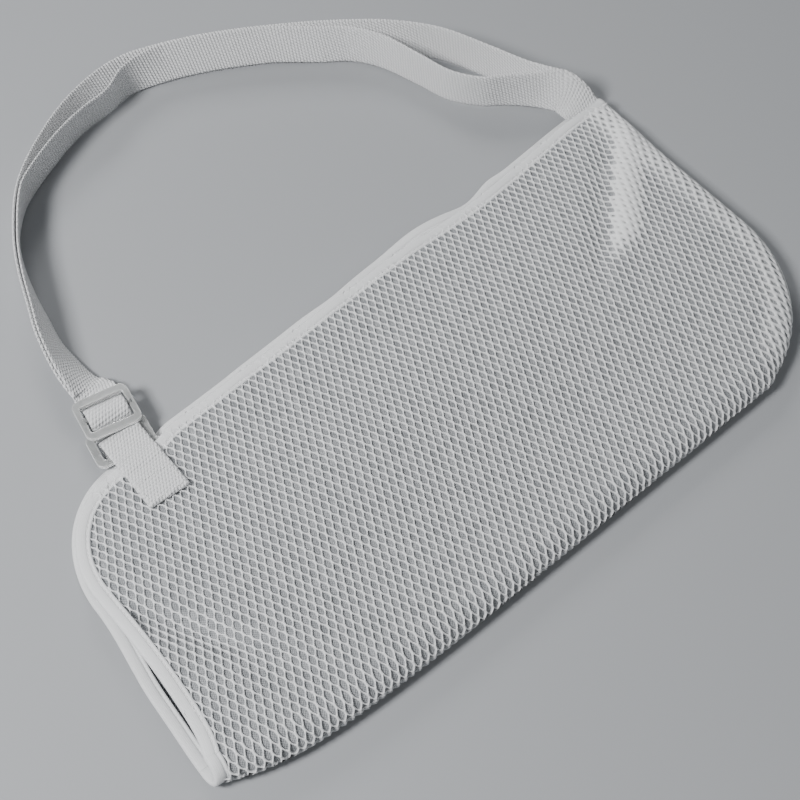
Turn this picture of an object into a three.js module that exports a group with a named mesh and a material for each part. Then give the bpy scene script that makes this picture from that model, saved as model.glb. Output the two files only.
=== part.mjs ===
// Arm sling: a folded mesh pouch, its edge binding, a doubled webbing strap, a sewn tab, a ring and a slider.
// Millimetres, +Z up. The sling lies on its back panel: X runs from the hand end to the elbow end,
// Y from the bottom fold to the open top edge.
import * as THREE from "three";

// Pouch outline, in plan
const FOLD_Y = -126; // bottom fold at its two ends
const FOLD_BOW = 15; // how far the fold bows out between them
const BOW_SKEW = 0.6; // below 1 moves the deepest point towards the hand end
const HAND_X = -203; // front panel's hand edge
const FOLD_HAND_X = -210; // where the fold meets the hand edge
const HAND_WAIST = 2.5; // the hand edge draws in this far between the corner and the fold
const FLARE_POWER = 6; // how suddenly it flares out again to the fold
const FOLD_ELBOW_X = 174; // where the fold ends in the elbow's small corner
const ELBOW_X = 240;
const ELBOW_CENTRE = { x: 145, y: -30 };
const ELBOW_RADIUS = 95;
const TOP_Y = 53; // top edge by the tab
const TOP_BEND_X = -125; // from here the top edge climbs to the elbow
const TOP_SLOPE = 0.125;
const TOP_SOFTNESS = 20;
const CORNER = { x: -150, y: -7, rx: 53, ry: 60 }; // hand corner, a quarter ellipse
const BACK_PROUD = 7; // the back panel shows this far past the front one

// Fabric
const MESH_T = 3; // spacer mesh
const FOLD_R = 7.5; // outer radius of the bottom fold
const FOLD_STOP_DEG = 120; // the fold's wall ends here, clear of the front panel as it opens
const TOP_DROP = 4; // the front panel comes down this far from the fold to its top edge
const DOME = 2.5;
const BIND_W = 8;
const BIND_T = 3.6;
const BIND_LIP = 0.9; // the tape's outer edge is rounded this far in
const GAP = 0.3;
const SEWN_GAP = 0.2; // extra gap under webbing that is sewn on or wrapped round a bar
const FOLD_GAP = 1; // between the back panel and the curved fold
const THREAD = { width: 0.7, height: 0.45, gap: 0.12, inset: 6.6 };

// Webbing
const WEB_W = 25;
const WEB_T = 1.4;
const LAYER_STEP = 2.3; // between the middles of two webbing layers

// Tab, ring and slider
const TAB = { x: -140.5, low: 17, high: 68, inside: 30, loopR: 2.9 };
const TAB_BOX = { width: 21, height: 13, line: 0.8, thick: 0.45, middle: 25.5 };
const HARDWARE_Z = 7.6;
const HARDWARE_TURN_DEG = -8;
const RING_BAR = { x: -142.6, y: 58.6 }; // the ring's bar in the tab's loop
const RING = { width: 37, window: 30.5, bars: 19, bar: 3.6, thick: 3, corner: 4.5 };
const SLIDER = { width: 35.5, height: 27, side: 3.6, bar: 4.4, centreBar: 3.5, thick: 3, corner: 5 };
const SLIDER_AT = 28; // from the ring's lower bar to the slider's middle
const SLIDER_LIFT = 4.1;
const HUMP = { half: 5.8, clear: 0.7, fullness: 0.7 }; // webbing over the slider's middle bar
const EDGE_ROUND = 0.6;
const STRAIGHT_END = 45; // webbing runs straight from the ring to here
const FOOT_END = 4; // its two layers close up this far beyond the ring's bar

const WHITE_MESH = { color: 0xd3d6d8, roughness: 0.85, metalness: 0 };
const WHITE_TAPE = { color: 0xdfe1e2, roughness: 0.7, metalness: 0 };
const WHITE_WEB = { color: 0xd9dadb, roughness: 0.65, metalness: 0 };
const THREAD_WHITE = { color: 0xe8e8e6, roughness: 0.55, metalness: 0 };
const MILKY = { color: 0xdcddd6, roughness: 0.35, metalness: 0 };

const sling = new THREE.Group();
const UP = new THREE.Vector3(0, 0, 1);

function add(name, geometry, finish, parent = sling) {
  const mesh = new THREE.Mesh(geometry, new THREE.MeshStandardMaterial(finish));
  mesh.name = name;
  parent.add(mesh);
  return mesh;
}

function range(n) {
  return Array.from({ length: n + 1 }, (_, i) => i / n);
}

function signedVolume(points, faces) {
  const cross = new THREE.Vector3();
  return faces.reduce((sum, [a, b, c]) => sum + points[a].dot(cross.crossVectors(points[b], points[c])), 0);
}

// A closed solid through rings of equal length. flatRing is one ring laid flat, for its two end caps.
function loft(rings, flatRing, caps = THREE.ShapeUtils.triangulateShape(flatRing, [])) {
  const n = rings[0].length;
  const points = rings.flat();
  const last = (rings.length - 1) * n;
  const faces = caps.map(([a, b, c]) => [c, b, a]);
  caps.forEach(([a, b, c]) => faces.push([last + a, last + b, last + c]));
  const turn = THREE.ShapeUtils.isClockWise(flatRing) ? -1 : 1;
  for (let r = 0; r < rings.length - 1; r++) {
    for (let i = 0; i < n; i++) {
      const [a, b] = [r * n + i, r * n + ((i + 1) % n)];
      const [c, d] = [b + n, a + n];
      // Both sides of a thin section are split the same way, so that a twisted ribbon keeps its thickness.
      const pair = i < n / 2 ? [[a, b, c], [a, c, d]] : [[a, b, d], [b, c, d]];
      faces.push(...pair.map((face) => (turn > 0 ? face : face.reverse())));
    }
  }
  if (signedVolume(points, faces) < 0) {
    faces.forEach((face) => face.reverse());
  }
  const geometry = new THREE.BufferGeometry().setFromPoints(points);
  geometry.setIndex(faces.flat());
  return geometry;
}

// End caps of a panel's ring, whose first half runs out under it and second half back over it.
function panelCaps(count) {
  const pairs = Array.from({ length: count / 2 - 1 }, (_, i) => [i, i + 1, count - 2 - i, count - 1 - i]);
  return pairs.flatMap(([a, b, c, d]) => [[a, b, c], [a, c, d]]);
}

// Sweeps a flat section along frames of { at, across, up }.
function sweep(section, frames) {
  const place = (frame) => (p) =>
    frame.at.clone().addScaledVector(frame.across, p.x).addScaledVector(frame.up, p.y);
  return loft(frames.map((frame) => section.map(place(frame))), section);
}

function polygon(...pairs) {
  return pairs.map(([x, y]) => new THREE.Vector2(x, y));
}

// ---------- pouch outline ----------

function foldY(x) {
  const along = THREE.MathUtils.clamp((x - FOLD_HAND_X) / (FOLD_ELBOW_X - FOLD_HAND_X), 0, 1);
  return FOLD_Y - FOLD_BOW * Math.sin(Math.PI * along ** BOW_SKEW);
}

function topY(x, inset = 0) {
  const past = x - TOP_BEND_X;
  return TOP_Y - inset + (TOP_SLOPE / 2) * (past + Math.hypot(past, TOP_SOFTNESS));
}

// Upper limit of the front panel at x, inset from the binding's outer edge.
function highY(x, inset) {
  if (x > CORNER.x) {
    return topY(x, inset);
  }
  const along = Math.min(1, (CORNER.x - x) / (CORNER.rx - inset));
  const top = topY(CORNER.x, inset);
  return CORNER.y + (top - CORNER.y) * Math.sqrt(1 - along ** 2);
}

// The hand edge at y, for the front panel or for the back one that stands proud of it.
function handX(y, proud) {
  const end = FOLD_Y + FOLD_R + FOLD_GAP;
  const down = THREE.MathUtils.clamp((CORNER.y - y) / (CORNER.y - end), 0, 1);
  const flare = HAND_X - FOLD_HAND_X - proud / 2;
  return HAND_X - proud + HAND_WAIST * Math.sin(Math.PI * down) - flare * down ** FLARE_POWER;
}

function lowY(x, inset) {
  if (x < FOLD_ELBOW_X) {
    return foldY(x) + FOLD_R;
  }
  const radius = ELBOW_RADIUS - inset;
  return ELBOW_CENTRE.y - Math.sqrt(Math.max(0, radius ** 2 - (x - ELBOW_CENTRE.x) ** 2));
}

// Height of the front panel's underside.
function frontZ(x, y) {
  const low = lowY(Math.min(x, ELBOW_X - 1), 0);
  const t = THREE.MathUtils.clamp((y - low) / (topY(x) - low), 0, 1);
  return 2 * FOLD_R - MESH_T + DOME * Math.sin(Math.PI * t) - TOP_DROP * t ** 2;
}

// Stations along X, close together where the outline turns its two round corners.
function stations(inset, elbowInset) {
  const hand = range(7).map((t) => CORNER.x - (CORNER.rx - inset) * Math.cos((t * Math.PI) / 2));
  const middle = range(11).slice(1).map((t) => THREE.MathUtils.lerp(CORNER.x, FOLD_ELBOW_X, t));
  const radius = ELBOW_RADIUS - elbowInset;
  const from = Math.asin((FOLD_ELBOW_X - ELBOW_CENTRE.x) / radius);
  const elbow = range(8).slice(1).map((t) => {
    return ELBOW_CENTRE.x + radius * Math.sin(THREE.MathUtils.lerp(from, Math.PI / 2, t));
  });
  return [...hand, ...middle, ...elbow];
}

// ---------- front and back panels ----------

function makeFrontPanel() {
  const inset = BIND_W + GAP;
  const elbowInset = 0.5;
  const rows = range(9);
  const ring = (x) => {
    const nearHand = THREE.MathUtils.clamp((CORNER.x - x) / (CORNER.rx - inset), 0, 1);
    const under = rows.map((v) => {
      const y = THREE.MathUtils.lerp(lowY(x, elbowInset), highY(x, inset), v);
      return new THREE.Vector3(x + (handX(y, 0) - HAND_X + 2 * GAP) * nearHand, y, frontZ(x, y));
    });
    const over = under.map((p) => p.clone().setZ(p.z + MESH_T));
    return [...under, ...over.reverse()];
  };
  const flat = polygon(...rows.map((v) => [v, 0]), ...rows.map((v) => [v, 1]).reverse());
  const rings = stations(inset, elbowInset).map(ring);
  add("front_panel", loft(rings, flat, panelCaps(flat.length)), WHITE_MESH);
}

function makeBackPanel() {
  const inset = BIND_W + GAP - BACK_PROUD;
  const wall = MESH_T + GAP;
  const [, ...xs] = stations(inset, wall);
  const hand = range(10).map((t) => {
    const y = THREE.MathUtils.lerp(CORNER.y, lowY(FOLD_HAND_X, wall) + FOLD_GAP, t);
    return new THREE.Vector2(handX(y, BACK_PROUD) + BIND_W + GAP, y);
  });
  const outline = new THREE.Shape();
  outline.setFromPoints([
    ...xs.map((x) => new THREE.Vector2(x, lowY(x, wall) + (x < FOLD_ELBOW_X ? FOLD_GAP : 0))),
    ...xs.reverse().map((x) => new THREE.Vector2(x, highY(x, inset))),
    ...hand,
  ]);
  add("back_panel", new THREE.ExtrudeGeometry(outline, { depth: MESH_T, bevelEnabled: false }), WHITE_MESH);
}

// ---------- bottom fold ----------

// The half-round wall of the fold, from under the pouch round to FOLD_STOP_DEG.
function foldSection(thick) {
  const arc = range(9).map((t) => THREE.MathUtils.degToRad(THREE.MathUtils.lerp(270, FOLD_STOP_DEG, t)));
  const at = (radius) => (a) => [radius * Math.cos(a), radius * Math.sin(a)];
  return polygon(...arc.map(at(FOLD_R)), ...arc.reverse().map(at(FOLD_R - thick)));
}

function foldFrames(from, to, steps) {
  return range(steps).map((t) => {
    const x = THREE.MathUtils.lerp(from, to, t);
    const at = new THREE.Vector3(x, foldY(x) + FOLD_R, FOLD_R);
    return { at, across: new THREE.Vector3(0, 1, 0), up: UP };
  });
}

function makeBottomFold() {
  const handEnd = FOLD_HAND_X + BIND_W;
  add("bottom_fold", sweep(foldSection(MESH_T), foldFrames(handEnd + GAP, FOLD_ELBOW_X, 16)), WHITE_MESH);
  add("fold_binding", sweep(foldSection(BIND_T), foldFrames(FOLD_HAND_X, handEnd, 2)), WHITE_TAPE);
}

// ---------- elbow end ----------

const ELBOW_SIDE_TOP = topY(ELBOW_X) - 1;

// The elbow's outline from the small corner by the fold up to the top edge, as { at, out } pairs.
function elbowPath() {
  const clearOfFold = 2;
  const start = Math.asin((FOLD_ELBOW_X + clearOfFold - ELBOW_CENTRE.x) / ELBOW_RADIUS);
  const round = range(10).map((t) => {
    const a = THREE.MathUtils.lerp(start, Math.PI / 2, t);
    const out = new THREE.Vector3(Math.sin(a), -Math.cos(a), 0);
    const centre = new THREE.Vector3(ELBOW_CENTRE.x, ELBOW_CENTRE.y, 0);
    return { at: centre.addScaledVector(out, ELBOW_RADIUS), out };
  });
  const side = range(6).slice(1).map((t) => {
    const y = THREE.MathUtils.lerp(ELBOW_CENTRE.y, ELBOW_SIDE_TOP, t);
    return { at: new THREE.Vector3(ELBOW_X, y, 0), out: new THREE.Vector3(1, 0, 0) };
  });
  return [...round, ...side];
}

function makeElbowFold() {
  const soft = 1.2; // the wall's outer edges are taken off this far
  const profile = (height) => [
    [-soft, 0], [-MESH_T, 0], [-MESH_T, height], [-soft, height], [0, height - soft], [0, soft],
  ];
  const rings = elbowPath().map(({ at, out }) => {
    const height = frontZ(at.x - 1, at.y) - GAP;
    return profile(height).map(([across, z]) => at.clone().addScaledVector(out, across).setZ(z));
  });
  add("elbow_fold", loft(rings, polygon(...profile(2 * FOLD_R))), WHITE_MESH);
}

// The ridge where front and back are sewn together, from the top corner a third of the way down.
function makeElbowSeam() {
  const seam = { from: 27, height: 3.4, width: 2.2, soft: 0.8 };
  const section = polygon(
    [0, 0], [seam.width, seam.soft], [seam.width, seam.height - seam.soft], [0, seam.height],
  );
  const frames = range(5).map((t) => {
    const y = THREE.MathUtils.lerp(seam.from, ELBOW_SIDE_TOP, t);
    const at = new THREE.Vector3(ELBOW_X + GAP, y, FOLD_R - seam.height);
    return { at, across: new THREE.Vector3(1, 0, 0), up: UP };
  });
  add("elbow_seam", sweep(section, frames), WHITE_TAPE);
}

// ---------- binding tape ----------

const BIND_SECTION = polygon(
  [BIND_LIP, 0], [BIND_W, 0], [BIND_W, BIND_T], [BIND_LIP, BIND_T], [0, BIND_T - BIND_LIP], [0, BIND_LIP],
);

// Frames along a plan path, with across pointing into the pouch.
function edgeFrames(points, height) {
  return points.map((p, i) => {
    const before = points[Math.max(0, i - 1)];
    const after = points[Math.min(points.length - 1, i + 1)];
    const along = new THREE.Vector3(after.x - before.x, after.y - before.y, 0).normalize();
    const across = new THREE.Vector3().crossVectors(UP, along);
    return { at: new THREE.Vector3(p.x, p.y, height(p.x, p.y)), across, up: UP };
  });
}

function topEdge(proud, from, to, steps) {
  return range(steps).map((t) => {
    const x = THREE.MathUtils.lerp(from, to, t);
    return { x, y: topY(x) + proud };
  });
}

// Round the hand corner and down to the fold.
function handEdge(proud) {
  const top = topY(CORNER.x) + proud;
  const round = range(9).map((t) => ({
    x: CORNER.x - (CORNER.rx + proud) * Math.sin((t * Math.PI) / 2),
    y: CORNER.y + (top - CORNER.y) * Math.cos((t * Math.PI) / 2),
  }));
  const side = range(10).slice(1).map((t) => {
    const y = THREE.MathUtils.lerp(CORNER.y, FOLD_Y + FOLD_R + FOLD_GAP, t);
    return { x: handX(y, proud), y };
  });
  return [...round, ...side];
}

function makeBinding(name, path, height) {
  add(name, sweep(BIND_SECTION, edgeFrames(path, height)), WHITE_TAPE);
}

function makeThread(name, path, height) {
  const { width, height: thick, gap, inset } = THREAD;
  const low = BIND_T + gap;
  const [far, high] = [inset + width, low + thick];
  const section = polygon([inset, low], [far, low], [far, high], [inset, high]);
  add(name, sweep(section, edgeFrames(path, height)), THREAD_WHITE);
}

function makeBindings() {
  const flat = () => 0;
  const elbowEnd = ELBOW_X - MESH_T - 1.5;
  const front = topEdge(0, elbowEnd, CORNER.x + FOLD_GAP, 18);
  makeBinding("front_top_binding", front, frontZ);
  makeBinding("front_hand_binding", handEdge(0), frontZ);
  makeBinding("back_top_binding", topEdge(BACK_PROUD, elbowEnd, CORNER.x + FOLD_GAP, 18), flat);
  makeBinding("back_hand_binding", handEdge(BACK_PROUD), flat);
  makeThread("front_hand_thread", handEdge(0), frontZ);
  const clearOfTab = TAB.x + WEB_W / 2 + 1;
  makeThread("front_top_thread", topEdge(0, elbowEnd, clearOfTab, 16), frontZ);
}

// ---------- strap ----------

const STRAP_STEPS = 4; // of the ribbon's surface between two stations

// Outer run: [x, y, roll], roll 0 flat and 90 on edge, its upper edge leaning away from the neck loop.
const ELBOW_START = [[223, 72, 0], [223, 90, 0], [223, 107, 0]];
const OUTER_LENS = [[222, 120, 30], [219.5, 134, 56], [214.5, 152, 75],
  [206, 177, 82], [190, 203, 80], [168, 228, 74]];
const JOINED_TOP = [[133, 254, 68], [101, 273, 65], [70, 289, 63], [38, 301, 62]];
const OUTER_CREST = [[8, 307, 64], [-30, 299, 78], [-64, 281, 84]];
const JOINED_LEFT = [[-93, 256, 82], [-113, 225, 80], [-124, 197, 77], [-132, 168, 68],
  [-136.4, 146, 51], [-136.6, 128, 27], [-135, 115, 6]];
const SLIDER_END = [[-135.8, 106.8, 0]];
const INNER_LENS = [[209.5, 143, 75], [197, 146, 87], [184, 152, 88], [171, 168, 86],
  [164, 192, 84], [155, 221, 78], [143, 239, 73], [126, 252, 68]];
const INNER_CREASE = [[8, 300.5, 84], [-12, 292, 98], [-34, 287, 99], [-60, 276, 95]];

function ribbonStation([x, y, roll], lift = 0) {
  const upright = (WEB_W / 2) * Math.sin(THREE.MathUtils.degToRad(roll));
  return { at: new THREE.Vector3(x, y, Math.max(upright + WEB_T / 2, lift)), roll };
}

// Moves stations onto the next layer, on the neck loop's side of the webbing.
function nextLayer(list) {
  return list.map((here, i) => {
    const before = list[Math.max(0, i - 1)].at;
    const after = list[Math.min(list.length - 1, i + 1)].at;
    const frame = ribbonFrame(here.at, new THREE.Vector3().subVectors(after, before), here.roll);
    return { at: here.at.clone().addScaledVector(frame.up, LAYER_STEP), roll: here.roll };
  });
}

// Frame of a ribbon that travels along the tangent and is rolled about it.
function ribbonFrame(at, tangent, roll) {
  const along = tangent.clone().normalize();
  const side = new THREE.Vector3().crossVectors(along, UP).normalize();
  const rise = new THREE.Vector3().crossVectors(side, along);
  const angle = THREE.MathUtils.degToRad(roll);
  const across = side.multiplyScalar(Math.cos(angle)).addScaledVector(rise, Math.sin(angle));
  return { at, across, up: new THREE.Vector3().crossVectors(across, along) };
}

// The same ribbon with STRAP_STEPS stations for each of the list's own.
function finer(list) {
  const line = new THREE.CatmullRomCurve3(list.map((s) => s.at));
  const rolls = new THREE.CatmullRomCurve3(list.map((s) => new THREE.Vector3(s.roll, 0, 0)));
  const ts = range(STRAP_STEPS * (list.length - 1));
  return ts.map((t) => ({ at: line.getPoint(t), roll: rolls.getPoint(t).x }));
}

function ribbon(list) {
  const [w, h] = [WEB_W / 2, WEB_T / 2];
  const line = new THREE.CatmullRomCurve3(list.map((s) => s.at));
  const frames = list.map((s, i) => ribbonFrame(s.at, line.getTangent(i / (list.length - 1)), s.roll));
  return sweep(polygon([-w, -h], [w, -h], [w, h], [-w, h]), frames);
}

function makeStrapRuns() {
  const inPouch = BIND_T + 2 * GAP + WEB_T / 2;
  const atSlider = HARDWARE_Z - LAYER_STEP / 2;
  const start = ELBOW_START.map((s) => ribbonStation(s, inPouch));
  const end = SLIDER_END.map((s) => ribbonStation(s, atSlider));
  const left = JOINED_LEFT.map((s) => ribbonStation(s, atSlider));
  const middle = (list) => list.map((s) => ribbonStation(s));
  const arch = [...OUTER_LENS, ...JOINED_TOP, ...OUTER_CREST];
  const outer = [...start, ...middle(arch), ...left, ...end];
  const fine = finer(outer);
  const beside = nextLayer(fine);
  const part = (from, to) => beside.slice(STRAP_STEPS * from, STRAP_STEPS * to + 1);
  const joined = start.length + OUTER_LENS.length;
  const split = joined + JOINED_TOP.length;
  const own = (before, list, after) => {
    const bridge = finer([...before.slice(-2), ...middle(list), ...after.slice(0, 2)]);
    return bridge.slice(STRAP_STEPS + 1, -STRAP_STEPS - 1);
  };
  const first = part(0, start.length + 1);
  const top = part(joined + 1, split - 1);
  const last = part(split + OUTER_CREST.length, outer.length - 1);
  const lens = own(first, INNER_LENS, top);
  const crease = own(top, INNER_CREASE, last);
  const inner = [...first, ...lens, ...top, ...crease, ...last];
  add("strap_outer_run", ribbon(fine), WHITE_WEB);
  add("strap_inner_run", ribbon(inner), WHITE_WEB);
}

// The bar of zigzag stitches that holds the strap's two ends to the back panel.
function makeBartack() {
  const bartack = { x: 223, y: 80, width: 21, height: 3, thick: 0.5 };
  const z = BIND_T + 2 * GAP + WEB_T + LAYER_STEP + THREAD.gap;
  const shape = roundedRectangle(bartack.width, bartack.height, 1);
  const options = { depth: bartack.thick, bevelEnabled: false, curveSegments: 3 };
  const bar = add("strap_bartack", new THREE.ExtrudeGeometry(shape, options), THREAD_WHITE);
  bar.position.set(bartack.x, bartack.y, z);
}

// ---------- tab, ring and slider ----------

function roundedRectangle(width, height, radius, Kind = THREE.Shape, middle = 0) {
  const [x, y] = [width / 2, height / 2];
  const shape = new Kind();
  shape.moveTo(radius - x, middle - y);
  shape.absarc(x - radius, middle - y + radius, radius, -Math.PI / 2, 0);
  shape.absarc(x - radius, middle + y - radius, radius, 0, Math.PI / 2);
  shape.absarc(radius - x, middle + y - radius, radius, Math.PI / 2, Math.PI);
  shape.absarc(radius - x, middle - y + radius, radius, Math.PI, 1.5 * Math.PI);
  shape.closePath();
  return shape;
}

// A moulded plate with soft edges, centred on its own middle plane.
function mouldedPlate(shape, thick) {
  const geometry = new THREE.ExtrudeGeometry(shape, {
    depth: thick - 2 * EDGE_ROUND,
    bevelSize: EDGE_ROUND,
    bevelThickness: EDGE_ROUND,
    bevelOffset: -EDGE_ROUND,
    bevelSegments: 2,
    curveSegments: 5,
  });
  return geometry.translate(0, 0, EDGE_ROUND - thick / 2);
}

// Webbing bent along a centre line of [along, height] points, its width across the line.
function bentWebbing(line) {
  const w = WEB_W / 2;
  const frames = line.map(([along, z], i) => {
    const before = line[Math.max(0, i - 1)];
    const after = line[Math.min(line.length - 1, i + 1)];
    const run = new THREE.Vector3(0, after[0] - before[0], after[1] - before[1]).normalize();
    const across = new THREE.Vector3(1, 0, 0);
    return { at: new THREE.Vector3(0, along, z), across, up: new THREE.Vector3().crossVectors(across, run) };
  });
  return sweep(polygon([-w, -WEB_T / 2], [w, -WEB_T / 2], [w, WEB_T / 2], [-w, WEB_T / 2]), frames);
}

// Half a circle of centre-line points round a bar, from above it to below it.
function halfTurn(middle, z, radius, side) {
  return range(8).map((t) => {
    const a = Math.PI * (0.5 - t);
    return [middle + side * radius * Math.cos(a), z + radius * Math.sin(a)];
  });
}

function makeTab() {
  const clear = GAP + SEWN_GAP + WEB_T / 2;
  const over = (y) => frontZ(TAB.x, y) + MESH_T + clear;
  const under = (y) => frontZ(TAB.x, y) - clear;
  const slopeEnd = TOP_Y - BIND_W;
  const slopeTop = over(slopeEnd) + GAP;
  const pastEdge = TOP_Y + 2;
  const line = [
    [TAB.low, over(TAB.low)],
    [slopeEnd, slopeTop],
    [pastEdge, over(TOP_Y) + 2 * GAP],
    ...halfTurn(TAB.high, HARDWARE_Z, TAB.loopR, 1),
    [pastEdge, HARDWARE_Z - TAB.loopR],
    [slopeEnd, under(slopeEnd) - GAP],
    [TAB.inside, under(TAB.inside)],
  ];
  add("tab_webbing", bentWebbing(line), WHITE_WEB).position.x = TAB.x;
  const box = TAB_BOX;
  const shape = roundedRectangle(box.width, box.height, 1);
  shape.holes.push(roundedRectangle(box.width - 2 * box.line, box.height - 2 * box.line, 0.5, THREE.Path));
  const options = { depth: box.thick, bevelEnabled: false, curveSegments: 3 };
  const stitch = add("tab_box_stitch", new THREE.ExtrudeGeometry(shape, options), THREAD_WHITE);
  const slope = (slopeTop - over(TAB.low)) / (slopeEnd - TAB.low);
  const surface = over(TAB.low) + slope * (box.middle - TAB.low) + WEB_T / 2;
  stitch.position.set(TAB.x, box.middle, surface + SEWN_GAP);
  stitch.rotation.x = Math.atan(slope);
}

// Ring and slider are made along +Y from the ring's lower bar, then turned and placed together.
const hardware = new THREE.Group();
hardware.position.set(RING_BAR.x, RING_BAR.y, HARDWARE_Z);
hardware.rotation.z = THREE.MathUtils.degToRad(HARDWARE_TURN_DEG);
sling.add(hardware);

function makeRing() {
  const shape = roundedRectangle(RING.width, RING.bars + RING.bar, RING.corner);
  shape.holes.push(roundedRectangle(RING.window, RING.bars - RING.bar, 1, THREE.Path));
  add("ring", mouldedPlate(shape, RING.thick), MILKY, hardware).position.y = RING.bars / 2;
}

// The strap comes down to the ring, goes round its upper bar and runs back under itself.
function makeRingTurn() {
  const wrap = RING.bar / 2 + GAP + SEWN_GAP + WEB_T / 2;
  const half = LAYER_STEP / 2;
  const closed = RING.bars + FOOT_END;
  const line = [
    [STRAIGHT_END, half],
    [closed, half],
    ...halfTurn(RING.bars, 0, wrap, -1),
    [closed, -half],
    [STRAIGHT_END, -half],
  ];
  add("strap_ring_turn", bentWebbing(line), WHITE_WEB, hardware);
}

function makeSlider() {
  const { width, height, side, bar, centreBar, thick, corner } = SLIDER;
  const slot = (height - 2 * bar - centreBar) / 2;
  const shape = roundedRectangle(width, height, corner);
  [-1, 1].forEach((way) => {
    const middle = (way * (centreBar + slot)) / 2;
    shape.holes.push(roundedRectangle(width - 2 * side, slot, 1, THREE.Path, middle));
  });
  const slider = add("slider", mouldedPlate(shape, thick), MILKY, hardware);
  slider.position.set(0, SLIDER_AT, SLIDER_LIFT + thick / 2);
}

// The webbing's hump over the slider's middle bar.
function makeHump() {
  const foot = LAYER_STEP / 2 + WEB_T + 2 * GAP;
  const crest = SLIDER_LIFT + SLIDER.thick + HUMP.clear + WEB_T / 2;
  const line = range(12).map((t) => {
    const a = Math.PI * t;
    return [SLIDER_AT - HUMP.half * Math.cos(a), foot + (crest - foot) * Math.sin(a) ** HUMP.fullness];
  });
  add("strap_hump", bentWebbing(line), WHITE_WEB, hardware);
}

makeBackPanel();
makeBottomFold();
makeElbowFold();
makeElbowSeam();
makeFrontPanel();
makeBindings();
makeStrapRuns();
makeBartack();
makeTab();
makeRing();
makeRingTurn();
makeSlider();
makeHump();

// The origin is the middle of the whole box, on the surface that the sling lies on.
const root = new THREE.Group();
root.add(sling);
root.updateMatrixWorld(true);
const whole = new THREE.Box3().setFromObject(sling, true);
sling.position.set(-(whole.min.x + whole.max.x) / 2, -(whole.min.y + whole.max.y) / 2, -whole.min.z);

export default root;
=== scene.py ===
import math

import bpy
import numpy as np
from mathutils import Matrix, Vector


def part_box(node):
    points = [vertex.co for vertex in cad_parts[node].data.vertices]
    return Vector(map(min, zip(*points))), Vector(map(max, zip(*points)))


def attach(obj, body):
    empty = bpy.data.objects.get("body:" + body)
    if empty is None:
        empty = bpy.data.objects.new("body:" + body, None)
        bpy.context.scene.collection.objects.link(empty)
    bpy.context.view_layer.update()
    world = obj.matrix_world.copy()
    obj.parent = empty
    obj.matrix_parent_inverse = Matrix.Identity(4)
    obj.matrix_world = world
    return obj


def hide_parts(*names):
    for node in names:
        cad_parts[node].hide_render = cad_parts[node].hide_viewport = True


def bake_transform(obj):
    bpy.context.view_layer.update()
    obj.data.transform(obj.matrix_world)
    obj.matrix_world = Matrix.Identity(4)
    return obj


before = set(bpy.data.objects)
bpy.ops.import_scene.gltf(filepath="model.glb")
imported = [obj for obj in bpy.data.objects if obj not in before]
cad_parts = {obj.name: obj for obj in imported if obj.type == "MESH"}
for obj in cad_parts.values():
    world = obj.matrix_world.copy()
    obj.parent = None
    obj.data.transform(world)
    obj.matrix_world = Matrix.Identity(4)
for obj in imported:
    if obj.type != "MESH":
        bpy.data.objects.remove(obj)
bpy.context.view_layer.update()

# ---------------------------------------------------------------------------------------------
# Driving dimensions, in millimetres, in the pouch's own plan: x from the hand end to the elbow,
# y from the bottom fold to the open top edge. to_cad() moves them into the CAD frame.
# ---------------------------------------------------------------------------------------------

MM = 0.001

# Outline of the pouch
FOLD_Y, FOLD_DIP, FOLD_SOFT, FOLD_LOW_Y = -123.0, 22.5, 40.0, -141.0
FOLD_HAND_X, FOLD_ELBOW_X = -210.0, 174.0
HAND_X, ELBOW_X = -203.6, 240.0
TOP_Y, TOP_BEND_X, TOP_SLOPE, TOP_SOFTNESS = 53.0, -125.0, 0.125, 20.0
TOP_RISE, TOP_RISE_FROM, TOP_RISE_TO = 3.6, 130, 210
TOP_BOW, BOW_FROM, BOW_TO = 4.6, (-135, -112), (40, 125)
CORNER = dict(x=-150.0, y=-7.0, rx=53.6, ry=60.0)
ELBOW_ROUND = dict(x=145.0, y=-30.0, r=95.0)
SEAM_LOW_Y, SEAM_TOP_Y, SEAM_LEAN = 27.0, 100, 2.4
HAND_WAIST, HAND_FLARE, FLARE_POWER = 1.6, 3.4, 12
HAND_END_Y = FOLD_Y + 8.5

# How far the back stands out past the front, and its waves along the top: middle, width, height
BACK_PROUD, PROUD_CORNER, PROUD_HAND, PROUD_FOLD, BACK_LIFT = 7.0, 2.2, 8.0, 4.0, 4.0
TOP_WAVES = [(9, 18, -2.2), (78, 24, 2.4), (118, 12, -2.0), (142, 10, 1.8)]
LIFT_FROM_X, LIFT_LENGTH, LIFT_REACH = -75, 265, 34

# Heights of the panels, and the round of the fabric at the fold
MESH_T = 3.0
EDGE_Z = 7.5
FRONT_Z, BACK_Z = 13.5, 1.5
TOP_DROP, DOME = 4.0, 3.0
WRAP_R, WRAP_EXTRA = 13.0, 2.6

# Soft hollows and swells of the front: x, y, half length, half width, turn, height
DENTS = [
    (-174, -56, 42, 8.5, -0.95, -6.5),
    (-150, -84, 60, 20, -0.6, 2.2),
    (-60, -30, 90, 30, 0.25, 1.0),
    (60, -70, 80, 26, 0.1, -1.2),
    (196, -78, 34, 12, 0.8, 1.2),
    (40, 40, 110, 18, 0.12, -0.8),
]

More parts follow.
